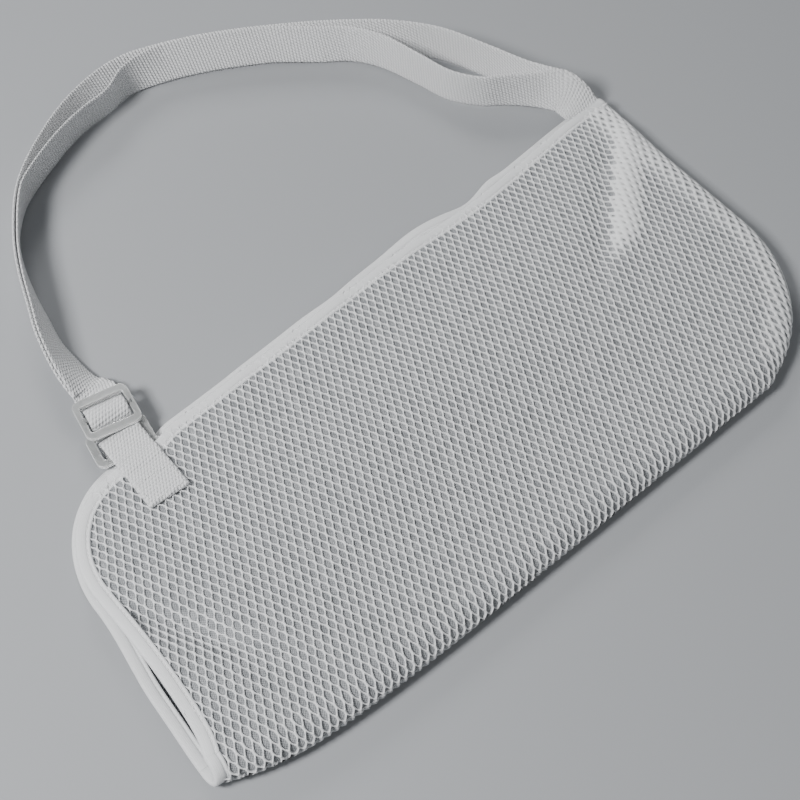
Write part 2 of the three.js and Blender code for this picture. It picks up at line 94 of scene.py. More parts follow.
# The swell from the elbow corner into the pouch: its edge line, its profile across that line
# (middle, width, height), and where it runs. TIGHT_ACROSS and TIGHT_ALONG bound its closed holes.
CREST_X, CREST_SLOPE = 160.0, 0.94
SWELL = [(11, 11, 2.4), (-9, 10, -2.4)]
SWELL_FROM, SWELL_TO = (-25, 12), (55, 95)
TIGHT_ACROSS = (-1, 1.5), (16, 28)
TIGHT_ALONG = (-10, 6), (58, 85)
ELBOW_TIGHT, SEAM_TIGHT = 0.35, 0.4

# Knitted net: pitch of its cells, its holes, and heights from the middle of the fabric
CELL_X, CELL_Y = 4.7, 9.6
CELL_SIDE, HOLE_X, HOLE_Y = 0.85, 1.7, 3.35
HOLE_CLOSING, HOLE_TAPER, HOLE_RISE = 0.85, 0.92, 0.7
NET_TOP, RIM_DROP, HOLE_BOTTOM, CORE_DEPTH = 1.55, 0.5, 0.1, 0.2
NET_MARGIN, CORE_MARGIN, CORE_PITCH = 3.0, 1.5, 3.0
FABRIC_LOW, FABRIC_HIGH = (-225, -150), (262, 125)

# Webbing and tape
WEB_W, WEB_T, LAYER_STEP = 25.0, 1.4, 2.3
BACK_TOP, STRAP_GAP = 3.6, 0.6
BIND_W = 8.0
RIB_PITCH, RIB, RIB_SLANT, BEAD = 2.1, 0.19, 0.2, 2.1
TAPE_STITCH_IN, TAPE_STITCH_UP = 6.1, 1.42

# Tab, ring and slider
TAB_X, TAB_LOW, TAB_HIGH, TAB_INSIDE, TAB_LOOP_R = -140.5, 18.6, 69.3, 30.0, 3.6
TAB_HEM, TAB_SUNK = 18.5, 1.1
BOX_W, BOX_H, BOX_UP = 21.0, 15.0, 9.0
HARDWARE_Z, HARDWARE_TURN = 7.6, math.radians(-8)
RING_BAR = (-142.6, 58.6)
RING_W, RING_WINDOW, RING_BARS, RING_BAR_W, RING_CORNER = 36.0, 26.4, 19.0, 4.2, 4.5
SLIDER_W, SLIDER_H, SLIDER_SIDE, SLIDER_BAR, CENTRE_BAR = 33.0, 28.2, 3.6, 5.0, 3.5
SLIDER_CORNER, WINDOW_CORNER = 5, 1.2
HUMP_W = 23.6
SLIDER_AT, SLIDER_LIFT, HUMP_HALF = 27.5, 4.1, 6.4
PLATE_T = 3.0
STRAIGHT_END, FOOT_END = 45.0, 4.0

# Bartack over the strap's ends
TACK_X, TACK_Y, TACK_Z, TACK_HALF, TACK_STEP = 223.0, 80.0, 9.4, 10, 1.6

# Where the straps are cut, on their way down the hand side, into their upper runs and the length round the
# ring
CUT_Y = 200.0

# Camera
CAMERA_TURN, CAMERA_TILT, CAMERA_DISTANCE, LENS = math.radians(37.68), math.radians(56), 0.85, 67.4

seam_low = np.array(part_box("elbow_seam")[0]) / MM
fold_low = np.array(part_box("bottom_fold")[0]) / MM
SHIFT = np.array([seam_low[0] - ELBOW_X - 0.3, fold_low[1] - FOLD_LOW_Y, 0.0])


def to_cad(points):
    return (np.asarray(points, float) + SHIFT) * MM


def step(low, high, value):
    """Smooth rise from 0 at low to 1 at high."""
    t = np.clip((value - low) / (high - low), 0, 1)
    return t * t * (3 - 2 * t)


def between(rising, falling, value):
    """1 between two soft ends, each a pair of values, and 0 outside them."""
    return step(*rising, value) * (1 - step(*falling, value))


def bells(parts, value):
    """Sum of soft bumps, each with a middle, a width and a height."""
    return sum(height * np.exp(-((value - middle) / width) ** 2) for middle, width, height in parts)


# ---------------------------------------------------------------------------------------------
# Meshes
# ---------------------------------------------------------------------------------------------

def make_piece(name, points, quads, material, uv=None, values=None):
    """A mesh piece from plan points and quads. uv has a pair per quad corner, values a number per point."""
    mesh = bpy.data.meshes.new(name)
    mesh.vertices.add(len(points))
    mesh.vertices.foreach_set("co", to_cad(points).astype(np.float32).ravel())
    mesh.loops.add(quads.size)
    mesh.loops.foreach_set("vertex_index", quads.astype(np.int32).ravel())
    mesh.polygons.add(len(quads))
    mesh.polygons.foreach_set("loop_start", np.arange(0, quads.size, 4, dtype=np.int32))
    mesh.update(calc_edges=True)
    mesh.polygons.foreach_set("use_smooth", np.ones(len(quads), bool))
    if uv is not None:
        layer = mesh.uv_layers.new(name="Cloth")
        layer.data.foreach_set("uv", uv.reshape(-1, 2).astype(np.float32).ravel())
    for key, numbers in (values or {}).items():
        attribute = mesh.attributes.new(key, "FLOAT", "POINT")
        attribute.data.foreach_set("value", numbers.astype(np.float32))
    mesh.validate()
    piece = bpy.data.objects.new(name, mesh)
    bpy.context.scene.collection.objects.link(piece)
    piece.data.materials.append(material)
    return piece


def join_meshes(parts):
    """Joins (points, quads, uv) parts into one."""
    points, quads, uvs, start = [], [], [], 0
    for p, q, uv in parts:
        points.append(p)
        quads.append(q + start)
        uvs.append(uv)
        start += len(p)
    return np.concatenate(points), np.concatenate(quads), np.concatenate(uvs)


def lengths(points, closed=False):
    """Distance along a path to each of its points, with the way back to the first one if closed."""
    if closed:
        points = np.concatenate([points, points[:1]])
    return np.concatenate([[0], np.cumsum(np.linalg.norm(np.diff(points, axis=0), axis=1))])


def columns_at(s, along, rows):
    """Rows of numbers at the distances s, between those at the distances along."""
    return np.stack([np.interp(s, along, rows[:, k]) for k in range(rows.shape[1])], -1)


def skin(rings, closed_path=False):
    """Quads over rings of points, each ring closed. Returns points, quads and uv in millimetres."""
    n, m = rings.shape[:2]
    rows = n if closed_path else n - 1
    i, j = np.meshgrid(np.arange(rows), np.arange(m), indexing="ij")
    i2, j2 = (i + 1) % n, (j + 1) % m
    quads = np.stack([i * m + j, i * m + j2, i2 * m + j2, i2 * m + j], -1).reshape(-1, 4)
    v = lengths(rings.mean(1), closed=True)
    u = lengths(rings[0], closed=True)
    uv = np.stack([
        np.stack([u[j], v[i]], -1), np.stack([u[j + 1], v[i]], -1),
        np.stack([u[j + 1], v[i + 1]], -1), np.stack([u[j], v[i + 1]], -1),
    ], 2).reshape(-1, 4, 2)
    return rings.reshape(-1, 3), quads, uv


def sweep(section, at, across, up):
    """Rings of a flat section along frames. The end rings are doubled and pinched flat to close them."""
    rings = at[:, None] + across[:, None] * section[None, :, :1] + up[:, None] * section[None, :, 1:]
    middle = section.mean(0)
    flat = (section - middle) * [0.98, 0.02] + middle
    ends = [at[k] + across[k] * flat[:, :1] + up[k] * flat[:, 1:] for k in (0, -1)]
    return np.concatenate([ends[0][None], rings, ends[1][None]])


# ---------------------------------------------------------------------------------------------
# Pouch outline and surface
# ---------------------------------------------------------------------------------------------

def fold_y(x):
    """The fold dips quickly past the hand end, then rises evenly to the elbow."""
    past = np.clip(x - FOLD_HAND_X, 0, FOLD_ELBOW_X - FOLD_HAND_X)
    even = 1 - past / (FOLD_ELBOW_X - FOLD_HAND_X)
    return FOLD_Y - FOLD_DIP * even * (1 - np.exp(-past / FOLD_SOFT))


def top_y(x):
    """The top edge bends up by the hand corner, bows out in its middle and rises to the elbow."""
    past = x - TOP_BEND_X
    bow = TOP_BOW * between(BOW_FROM, BOW_TO, x)
    rise = TOP_RISE * step(TOP_RISE_FROM, TOP_RISE_TO, x)
    return TOP_Y + TOP_SLOPE / 2 * (past + np.hypot(past, TOP_SOFTNESS)) + bow + rise


def down_hand(y):
    """0 at the hand corner to 1 at the fold."""
    return np.clip((CORNER["y"] - y) / (CORNER["y"] - HAND_END_Y), 0, 1)


def hand_x(y):
    down = down_hand(y)
    return HAND_X + HAND_WAIST * np.sin(np.pi * down) - HAND_FLARE * down ** FLARE_POWER


def proud_at(y, proud):
    """How far the back stands out past the hand edge: little by the corner, most half way down."""
    down = down_hand(y)
    most = PROUD_CORNER + (PROUD_HAND - PROUD_CORNER) * step(0, 0.6, down)
    return (most - PROUD_FOLD * down ** FLARE_POWER) * (proud > 0)


def top_proud(x, proud):
    """How far the back stands out past the top edge, in soft waves."""
    return proud + bells(TOP_WAVES, x) * (proud > 0)


def seam_lean(y):
    return SEAM_LEAN * step(SEAM_LOW_Y, SEAM_TOP_Y, y)


def wall_distance(x, y):
    """How far inside the closed side of the pouch a point is: the fold, the elbow's round and its side."""
    dx = np.maximum(x - ELBOW_ROUND["x"] - seam_lean(y), 0)
    dy = np.minimum(y - ELBOW_ROUND["y"], 0)
    elbow = ELBOW_ROUND["r"] - np.hypot(dx, dy)
    at_elbow = step(FOLD_ELBOW_X - 8, FOLD_ELBOW_X + 3, x)
    return (y - fold_y(x)) * (1 - at_elbow) + elbow * at_elbow


def rim_distance(x, y, proud=0.0):
    """How far inside the open edge a point is: the top edge, the hand corner and the hand edge."""
    top = top_y(x) + top_proud(x, proud) - y
    hand = x - hand_x(y) + proud_at(y, proud)
    cx, cy = CORNER["x"] - x, y - CORNER["y"]
    rx, ry = CORNER["rx"] + proud_at(CORNER["y"], proud), CORNER["ry"] + proud
    turn = (1 - np.hypot(cx / rx, cy / ry)) * min(rx, ry)
    in_corner = (cx > 0) & (cy > 0)
    return np.where(in_corner, turn, np.where(cx > 0, hand, top))


def front_height(x, y):
    """Middle of the front panel's thickness, away from the wall."""
    low = np.where(x > FOLD_ELBOW_X, ELBOW_ROUND["y"] - ELBOW_ROUND["r"], fold_y(x))
    t = np.clip((y - low) / (top_y(x) - low), 0, 1)
    z = FRONT_Z + DOME * np.sin(np.pi * t) - TOP_DROP * t ** 2
    for cx, cy, rx, ry, turn, height in DENTS:
        c, s = math.cos(turn), math.sin(turn)
        u = ((x - cx) * c + (y - cy) * s) / rx
        v = (-(x - cx) * s + (y - cy) * c) / ry
        z = z + height * np.exp(-u * u - v * v)
    return z + bells(SWELL, crest_distance(x, y)) * between(SWELL_FROM, SWELL_TO, y)


def crest_distance(x, y):
    """How far towards the elbow a point is from the edge of the swell beside it."""
    return x - CREST_X - CREST_SLOPE * y


def tightness(x, y):
    """Where the mesh is drawn tight and its holes close: on the swell, round the elbow, along the seam. The
    mesh shaders also lift their painted hole shade there, painting these places lighter.
    """
    swell = between(*TIGHT_ACROSS, crest_distance(x, y)) * between(*TIGHT_ALONG, y)
    wall = wall_distance(x, y)
    elbow = (1 - step(9, 21, wall)) * step(165, 200, x)
    seam = (1 - step(5, 30, wall)) * step(SEAM_LOW_Y - 10, SEAM_LOW_Y + 25, y) * step(150, 200, x)
    return np.clip(swell + ELBOW_TIGHT * elbow + SEAM_TIGHT * seam, 0, 1)


def ripple(x, y):
    """The tape's slight unevenness."""
    return 0.22 * np.sin(x / 13 + y / 9) + 0.14 * np.sin(x / 5.1 - y / 6.7)


def back_height(x, y):
    """The back lies flat, but its top edge lifts in a soft wave between the tab and the elbow."""
    edge = 1 - step(0, LIFT_REACH, top_y(x) + top_proud(x, BACK_PROUD) - y)
    along = np.clip((x - LIFT_FROM_X) / LIFT_LENGTH, 0, 1)
    wave = np.sin(np.pi * along) * (0.8 + 0.3 * np.cos(6.5 * np.pi * along))
    return BACK_Z + BACK_LIFT * wave * edge


def surface(x, y, side):
    """Middle surface of one panel: side 1 is the front, -1 the back. Near the wall it rounds over."""
    near = 0.5
    d = wall_distance(x, y)
    gx = (wall_distance(x + near, y) - wall_distance(x - near, y)) / (2 * near)
    gy = (wall_distance(x, y + near) - wall_distance(x, y - near)) / (2 * near)
    size = np.maximum(np.hypot(gx, gy), 1e-6)
    turn = np.clip((WRAP_R - d) / (WRAP_R + WRAP_EXTRA), 0, 1) * np.pi / 2
    inside = np.where(d < WRAP_R, WRAP_R * (1 - np.sin(turn)), d)
    px = x + (inside - d) * gx / size
    py = y + (inside - d) * gy / size
    level = front_height(px, py) if side > 0 else back_height(px, py)
    return np.stack([px, py, EDGE_Z + (level - EDGE_Z) * np.cos(turn)], -1)


def on_panel(x, y, height, side):
    """Points at a height outside the middle surface."""
    near = 0.3
    p = surface(x, y, side)
    along = surface(x + near, y, side) - surface(x - near, y, side)
    rise = surface(x, y + near, side) - surface(x, y - near, side)
    normal = np.cross(along, rise) * side
    normal /= np.maximum(np.linalg.norm(normal, axis=-1, keepdims=True), 1e-9)
    return p + normal * np.asarray(height)[..., None]


# ---------------------------------------------------------------------------------------------
# Materials
# ---------------------------------------------------------------------------------------------

class Finish:
    """A node-based material, built by short calls."""

    def __init__(self, name, color, roughness):
        self.material = bpy.data.materials.new(name)
        self.material.use_nodes = True
        self.nodes = self.material.node_tree.nodes
        self.links = self.material.node_tree.links
        self.main = self.nodes["Principled BSDF"]
        self.main.inputs["Base Color"].default_value = (*color, 1)
        self.main.inputs["Roughness"].default_value = roughness

    def add(self, kind, **sockets):
        node = self.nodes.new("ShaderNode" + kind)
        for name, value in sockets.items():
            self.put(node.inputs[name.replace("_", " ")], value)
        return node

    def put(self, socket, value):
        if isinstance(value, bpy.types.NodeSocket):
            self.links.new(value, socket)
        else:
            socket.default_value = value

    def math(self, operation, *values, clamp=False):
        node = self.nodes.new("ShaderNodeMath")
        node.operation = operation
        node.use_clamp = clamp
        for socket, value in zip(node.inputs, values):
            self.put(socket, value)
        return node.outputs[0]

    def sine(self, value, pitch, phase=0.0):
        return self.math("SINE", self.math("MULTIPLY_ADD", value, 2 * math.pi / pitch, phase))

    def cloth_uv(self):
        """The cloth's own coordinates in millimetres: both together, across, and along."""
        node = self.nodes.new("ShaderNodeUVMap")
        node.uv_map = "Cloth"
        split = self.add("SeparateXYZ", Vector=node.outputs[0])
        return node.outputs[0], split.outputs[0], split.outputs[1]

    def attribute(self, name):
        node = self.nodes.new("ShaderNodeAttribute")
        node.attribute_name = name
        return node.outputs["Fac"]

    def mix(self, factor, a, b):
        node = self.nodes.new("ShaderNodeMix")
        node.data_type = "RGBA"
        self.put(node.inputs["Factor"], factor)
        self.put(node.inputs[6], a if isinstance(a, bpy.types.NodeSocket) else (*a, 1))
        self.put(node.inputs[7], b if isinstance(b, bpy.types.NodeSocket) else (*b, 1))
        return node.outputs[2]

    def bump(self, height, strength, distance):
        node = self.add("Bump", Height=height, Strength=strength, Distance=distance)
        self.links.new(node.outputs[0], self.main.inputs["Normal"])

    def noise(self, vector, scale, detail=3.0):
        node = self.add("TexNoise", Vector=vector, Scale=scale, Detail=detail)
        return node.outputs[0]


def webbing_finish():
    """Ribbed webbing: slanted rows of weft beads, each row stepped half a bead to the side, with painted
    shade in the grooves between them.
    """
    f = Finish("webbing", (0.80, 0.81, 0.82), 0.6)
    uv, u, v = f.cloth_uv()
    slanted = f.math("ADD", v, f.math("MULTIPLY", u, RIB_SLANT))
    rows = f.sine(slanted, RIB_PITCH, math.pi / 2)
    stepped = f.math("ADD", f.math("DIVIDE", u, BEAD), f.math("DIVIDE", slanted, 2 * RIB_PITCH))
    beads = f.sine(stepped, 1.0)
    grain = f.noise(uv, 1.8)
    height = f.math("ADD", f.math("MULTIPLY", rows, 0.6), f.math("MULTIPLY", beads, 0.4))
    height = f.math("ADD", height, f.math("MULTIPLY", f.math("SUBTRACT", grain, 0.5), 0.8))
    # The colour follows the height: painted shade darkens the grooves between the rows and beads, and the
    # grain adds random tone.
    tone = f.math("MULTIPLY_ADD", height, 0.42, 0.55, clamp=True)
    f.put(f.main.inputs["Base Color"], f.mix(tone, (0.6, 0.605, 0.615), (0.87, 0.875, 0.88)))
    f.bump(height, 0.8, 0.0005)
    f.main.inputs["Sheen Weight"].default_value = 0.1
    return f.material


def tape_finish():
    """Woven binding tape: fine close ribs and a soft sheen, with painted shade in the grooves between the
    ribs.
    """
    f = Finish("binding_tape", (0.80, 0.81, 0.82), 0.65)
    uv, u, v = f.cloth_uv()
    ribs = f.sine(v, 0.75)
    lines = f.sine(u, 0.9)
    height = f.math("ADD", f.math("MULTIPLY", ribs, 0.5), f.math("MULTIPLY", lines, 0.25))
    height = f.math("ADD", height, f.math("MULTIPLY", f.noise(uv, 0.7), 1.2))
    # The colour follows the height: painted shade darkens the grooves between the ribs and lines, and the
    # noise adds random tone.
    tone = f.math("MULTIPLY_ADD", height, 0.3, 0.3)
    f.put(f.main.inputs["Base Color"], f.mix(tone, (0.70, 0.71, 0.72), (0.86, 0.865, 0.87)))
    f.bump(height, 0.35, 0.0002)
    f.main.inputs["Sheen Weight"].default_value = 0.2
    return f.material


def net_finish():
    """The knitted face of the spacer mesh: bright strands, with painted shade darkening the walls and
    floors of the open holes.
    """
    f = Finish("mesh_face", (0.80, 0.81, 0.82), 0.6)
    uv, u, v = f.cloth_uv()
    hole_shade = f.attribute("hole_shade")
    tight = f.attribute("tight")
    twist = f.sine(f.math("ADD", v, f.math("MULTIPLY", u, 0.6)), 0.55)
    grain = f.noise(uv, 1.5)
    height = f.math("ADD", f.math("MULTIPLY", twist, 0.4), grain)
    # Painted shade: the colour darkens from the bright strands down the hole walls to the hole floors; the
    # grain adds random tone.
    shade = f.math("ADD", hole_shade, f.math("MULTIPLY", f.math("SUBTRACT", grain, 0.5), 0.35), clamp=True)
    # Where the mesh is drawn tight the painted hole shade is mostly lifted, so that band is painted
    # lighter.
    shade = f.math("MULTIPLY", shade, f.math("SUBTRACT", 1.0, f.math("MULTIPLY", tight, 0.75)))
    f.put(f.main.inputs["Base Color"], f.mix(shade, (0.9, 0.905, 0.91), (0.3, 0.31, 0.325)))
    f.bump(height, 0.4, 0.0002)
    f.main.inputs["Sheen Weight"].default_value = 0.1
    return f.material


def core_finish():
    """The spacer yarns and the fine inner face, seen down the holes, coloured dark grey as painted shade in
    the holes, with random patches of tone.
    """
    f = Finish("mesh_core", (0.5, 0.51, 0.52), 0.85)
    uv, u, v = f.cloth_uv()
    tight = f.attribute("tight")
    weave = f.math("MULTIPLY", f.sine(u, CELL_X / 3), f.sine(v, CELL_Y / 7))
    grain = f.noise(uv, 0.9)
    patch = f.math("SUBTRACT", f.noise(uv, 0.16), 0.5)
    height = f.math("ADD", weave, grain)
    # Painted shade: the core's colour runs from near black to mid grey, darker in the weave's grooves, with
    # random patches of tone.
    tone = f.math("ADD", f.math("MULTIPLY", height, 0.3), f.math("MULTIPLY", patch, 1.2))
    # Where the mesh is drawn tight the core's painted shade is lifted towards light grey.
    tone = f.math("ADD", f.math("ADD", tone, 0.2), tight, clamp=True)
    f.put(f.main.inputs["Base Color"], f.mix(tone, (0.17, 0.18, 0.19), (0.55, 0.56, 0.575)))
    f.bump(height, 0.5, 0.0004)
    return f.material


def thread_finish():
    """Twisted sewing thread, with painted shade in the grooves of its twist."""
    f = Finish("thread", (0.86, 0.86, 0.86), 0.5)
    _, u, v = f.cloth_uv()
    twist = f.sine(f.math("ADD", v, f.math("MULTIPLY", u, 1.2)), 0.4)
    # Painted shade: the colour darkens in the grooves of the twist.
    tone = f.math("MULTIPLY_ADD", twist, 0.5, 0.5)
    f.put(f.main.inputs["Base Color"], f.mix(tone, (0.7, 0.7, 0.7), (0.9, 0.9, 0.89)))
    f.bump(twist, 0.4, 0.0001)
    return f.material


def plastic_finish():
    """Milky moulded plastic, half see-through, with a painted highlight whitening it along its rims."""
    f = Finish("milky_plastic", (0.6, 0.61, 0.6), 0.25)
    uv = f.cloth_uv()[0]
    cloud = f.math("MULTIPLY", f.noise(uv, 0.25, 2.0), 0.3)
    # Random milky clouds, plus a painted highlight that whitens the colour towards each rim.
    cloud_and_rim_highlight = f.math("ADD", cloud, f.attribute("edge"), clamp=True)
    f.put(f.main.inputs["Base Color"], f.mix(cloud_and_rim_highlight, (0.36, 0.37, 0.37), (0.97, 0.975, 0.96)))
    rough = f.math("MULTIPLY_ADD", f.noise(uv, 1.2), 0.2, 0.12)
    f.put(f.main.inputs["Roughness"], rough)
    f.main.inputs["Transmission Weight"].default_value = 0.5
    f.main.inputs["Subsurface Weight"].default_value = 0.2
    f.main.inputs["Subsurface Radius"].default_value = (0.002, 0.002, 0.002)
    f.main.inputs["IOR"].default_value = 1.47
    f.bump(f.noise(uv, 2.5), 0.1, 0.0002)
    return f.material


MESH_FACE = net_finish()
MESH_CORE = core_finish()
TAPE = tape_finish()
WEBBING = webbing_finish()
THREAD = thread_finish()
PLASTIC = plastic_finish()


# ---------------------------------------------------------------------------------------------
# Spacer-mesh fabric: a knitted net with oval holes over a continuous core
# ---------------------------------------------------------------------------------------------

RING = 12


def cell_ring():
    """Twelve points of a long six-sided cell's border: its corners and points between them."""
    low, high, right = CELL_SIDE, CELL_Y / 2 - CELL_SIDE, CELL_X / 2
    middle = (right / 2, (low + high) / 2)
    quarter = [(right, 0), (right, low), middle]
    half = quarter + [(0, high)] + [(-x, y) for x, y in reversed(quarter[1:])]
    return np.array(half + [(-x, -y) for x, y in half])


def hole_ring():
    """The hole in a cell: a leaf, pointed at both ends."""
    ring = cell_ring()
    y = ring[:, 1] / ring[:, 1].max()
    x = np.sign(np.round(ring[:, 0], 6)) * (1 - y ** 2) ** 0.9
    return np.stack([x * HOLE_X, y * HOLE_Y], -1)


def cell_centres(low, high):
    """Middles of the cells over a plan area, every second row shifted half a cell."""
    rows = np.arange(math.floor(low[1] / CELL_Y * 2), math.ceil(high[1] / CELL_Y * 2) + 1)
    columns = np.arange(math.floor(low[0] / CELL_X), math.ceil(high[0] / CELL_X) + 1)
    r, c = np.meshgrid(rows, columns, indexing="ij")
    return np.stack([(c + (r % 2) / 2) * CELL_X, r * CELL_Y / 2], -1).reshape(-1, 2)


def make_net(name, side, proud):
    """One panel's net: each cell slopes from its border to its hole's rim, and on down the hole."""
    centres = cell_centres(FABRIC_LOW, FABRIC_HIGH)
    x, y = centres.T
    keep = (wall_distance(x, y) > -WRAP_EXTRA - 0.5) & (rim_distance(x, y, proud) > NET_MARGIN)
    centres = centres[keep]
    border = (centres[:, None] + cell_ring()[None]).reshape(-1, 2)
    steps_per_mm = 50
    keys, index = np.unique(np.round(border * steps_per_mm).astype(int), axis=0, return_inverse=True)
    index = index.reshape(-1, RING)
    shared = keys / steps_per_mm
    n = len(centres)
    tight = tightness(*centres.T)
    hole = hole_ring()[None] * (1 - HOLE_CLOSING * tight)[:, None, None]
    rim = (centres[:, None] + hole).reshape(-1, 2)
    floor = (centres[:, None] + HOLE_TAPER * hole).reshape(-1, 2)
    flat = np.concatenate([shared, rim, floor])
    tight = np.repeat(tight, RING)
    heights = np.concatenate([
        np.full(len(shared), NET_TOP), np.full(len(rim), NET_TOP - RIM_DROP),
        HOLE_BOTTOM + HOLE_RISE * tight,
    ])
    # Painted shade for each point: none on the strands, some at the hole rims, full at the hole floors.
    hole_shade = np.concatenate([np.zeros(len(shared)), np.full(len(rim), 0.35), np.ones(len(floor))])
    tight = np.concatenate([tightness(*shared.T), tight, tight])
    rims = len(shared) + np.arange(n * RING).reshape(n, RING)
    floors = rims + n * RING
    quads = []
    for k in range(RING):
        k2 = (k + 1) % RING
        quads.append(np.stack([index[:, k], index[:, k2], rims[:, k2], rims[:, k]], -1))
        quads.append(np.stack([rims[:, k], rims[:, k2], floors[:, k2], floors[:, k]], -1))
    quads = np.concatenate(quads)
    if side < 0:
        quads = quads[:, ::-1]
    points = on_panel(flat[:, 0], flat[:, 1], heights, side)
    # The shader gets the painted hole shade for each point, and how tight the mesh is, which lifts that
    # shade.
    return make_piece(name, points, quads, MESH_FACE, flat[quads], dict(hole_shade=hole_shade, tight=tight))


def make_core(name, side, proud):
    """The continuous sheet under the net, cut to the same outline."""
    xs = np.arange(-218, 250, CORE_PITCH)
    ys = np.arange(-148, 116, CORE_PITCH)
    gx, gy = np.meshgrid(xs, ys, indexing="ij")
    inside = wall_distance(gx, gy) > -WRAP_EXTRA - CORE_PITCH
    inside &= rim_distance(gx, gy, proud) > CORE_MARGIN
    i, j = np.nonzero(inside[:-1, :-1] & inside[1:, :-1] & inside[1:, 1:] & inside[:-1, 1:])
    cols = len(ys)
    quads = np.stack([i * cols + j, (i + 1) * cols + j, (i + 1) * cols + j + 1, i * cols + j + 1], -1)
    used, quads = np.unique(quads, return_inverse=True)
    quads = quads.reshape(-1, 4)
    flat = np.stack([gx, gy], -1).reshape(-1, 2)[used]
    points = on_panel(flat[:, 0], flat[:, 1], np.full(len(flat), CORE_DEPTH), side)
    if side < 0:
        quads = quads[:, ::-1]
    # How tight the mesh is, which lifts the core's painted shade.
    return make_piece(name, points, quads, MESH_CORE, flat[quads], dict(tight=tightness(*flat.T)))


# ---------------------------------------------------------------------------------------------
# Binding tape
# ---------------------------------------------------------------------------------------------

def tape_section():
    """Half of a folded tape's outline from its outer edge to its inner one, then mirrored below."""
    top = np.array([
        (0.0, 0.35), (0.25, 1.0), (0.8, 1.45), (1.8, 1.75), (3.4, 1.9), (4.8, 1.9), (5.7, 1.7),
        (6.1, 1.25), (6.5, 1.65), (7.1, 1.95), (7.7, 1.95), (8.0, 1.7), (8.1, 0.9),
    ])
    return np.concatenate([top, (top * [1, -1])[::-1]])


def frames_along(path):
    """At, inward and up vectors along a path of plan points with heights, inward to its left."""
    tangent = np.gradient(path, axis=0)
    tangent[:, 2] = 0
    tangent /= np.linalg.norm(tangent, axis=1, keepdims=True)
    up = np.tile([0.0, 0.0, 1.0], (len(path), 1))
    return path, np.cross(up, tangent), up


def rim_path(proud, spacing=1.6):
    """Plan points of the open edge, from the elbow corner to the fold."""
    top = [(x, top_y(x) + top_proud(x, proud)) for x in np.arange(ELBOW_X + 1.4, CORNER["x"], -spacing)]
    a = np.linspace(0, np.pi / 2, 46)
    top_at = top_y(CORNER["x"]) + proud - CORNER["y"]
    turn = np.stack([
        CORNER["x"] - (CORNER["rx"] + proud_at(CORNER["y"], proud)) * np.sin(a),
        CORNER["y"] + top_at * np.cos(a),
    ], -1)
    ys = np.arange(CORNER["y"] - spacing, HAND_END_Y - 2, -spacing)
    side = np.stack([hand_x(ys) - proud_at(ys, proud), ys], -1)
    return np.concatenate([np.array(top, float), turn, side])


def tape_line(side, proud):
    plan = rim_path(proud)
    x, y = plan.T
    z = front_height(x, y) + ripple(x, y) if side > 0 else back_height(x, y) + 0.5
    return np.column_stack([plan, z])


def make_binding(name, side, proud):
    at, inward, up = frames_along(tape_line(side, proud))
    points, quads, uv = skin(sweep(tape_section(), at, inward, up))
    return make_piece(name, points, quads, TAPE, uv)


def make_stitches(name, path, inset, height, pitch=2.9, length=2.3, radius=0.28):
    """A row of thread stitches, each a small humped capsule, along a path of frames."""
    at, inward, up = path
    line = at + inward * inset + up * height
    along = lengths(line)
    parts = []
    a = np.arange(6) * np.pi / 3
    for start in np.arange(1.0, along[-1] - length, pitch):
        s = start + np.linspace(0, length, 5)
        middle, side, rise = (columns_at(s, along, part) for part in (line, inward, up))
        size = radius * np.array([0.3, 0.9, 1.0, 0.9, 0.3])
        hump = np.array([-0.25, 0.05, 0.15, 0.05, -0.25])
        middle = middle + rise * hump[:, None]
        rings = middle[:, None] + (
            side[:, None] * np.cos(a)[None, :, None] + rise[:, None] * np.sin(a)[None, :, None]
        ) * size[:, None, None]
        parts.append(skin(rings))
    points, quads, uv = join_meshes(parts)
    return make_piece(name, points, quads, THREAD, uv)


# ---------------------------------------------------------------------------------------------
# Webbing
# ---------------------------------------------------------------------------------------------

def webbing_section(width):
    """A flat band with rounded selvages, a little thicker at its edges."""
    quarter = np.pi / 2 * 0.93
    u = np.sin(np.linspace(-1, 1, 17) * quarter) / math.sin(quarter)
    half = WEB_T / 2 * np.sqrt(np.clip(1 - np.abs(u) ** 14, 0, 1)) * (1 + 0.1 * np.abs(u) ** 6)
    top = np.stack([u * width / 2, half], -1)
    return np.concatenate([top[::-1], (top * [1, -1])[1:-1]])


def curve_points(stations, per):
    """Centripetal Catmull-Rom through stations of any width, per points to a span."""
    s = np.asarray(stations, float)
    first, last = 2 * s[0] - s[1], 2 * s[-1] - s[-2]
    s = np.concatenate([[first], s, [last]])
    out = []
    for k in range(1, len(s) - 2):
        p0, p1, p2, p3 = s[k - 1:k + 3]
        gaps = [max(np.linalg.norm(b[:3] - a[:3]) ** 0.5, 1e-6) for a, b in ((p0, p1), (p1, p2), (p2, p3))]
        m1 = (p1 - p0) / gaps[0] - (p2 - p0) / (gaps[0] + gaps[1]) + (p2 - p1) / gaps[1]
        m2 = (p2 - p1) / gaps[1] - (p3 - p1) / (gaps[1] + gaps[2]) + (p3 - p2) / gaps[2]
        t = np.arange(per)[:, None] / per
        m1, m2 = m1 * gaps[1], m2 * gaps[1]
        a, b = 2 * p1 - 2 * p2 + m1 + m2, -3 * p1 + 3 * p2 - 2 * m1 - m2
        out.append(((a * t + b) * t + m1) * t + p1)
    return np.concatenate(out + [s[-2][None]])


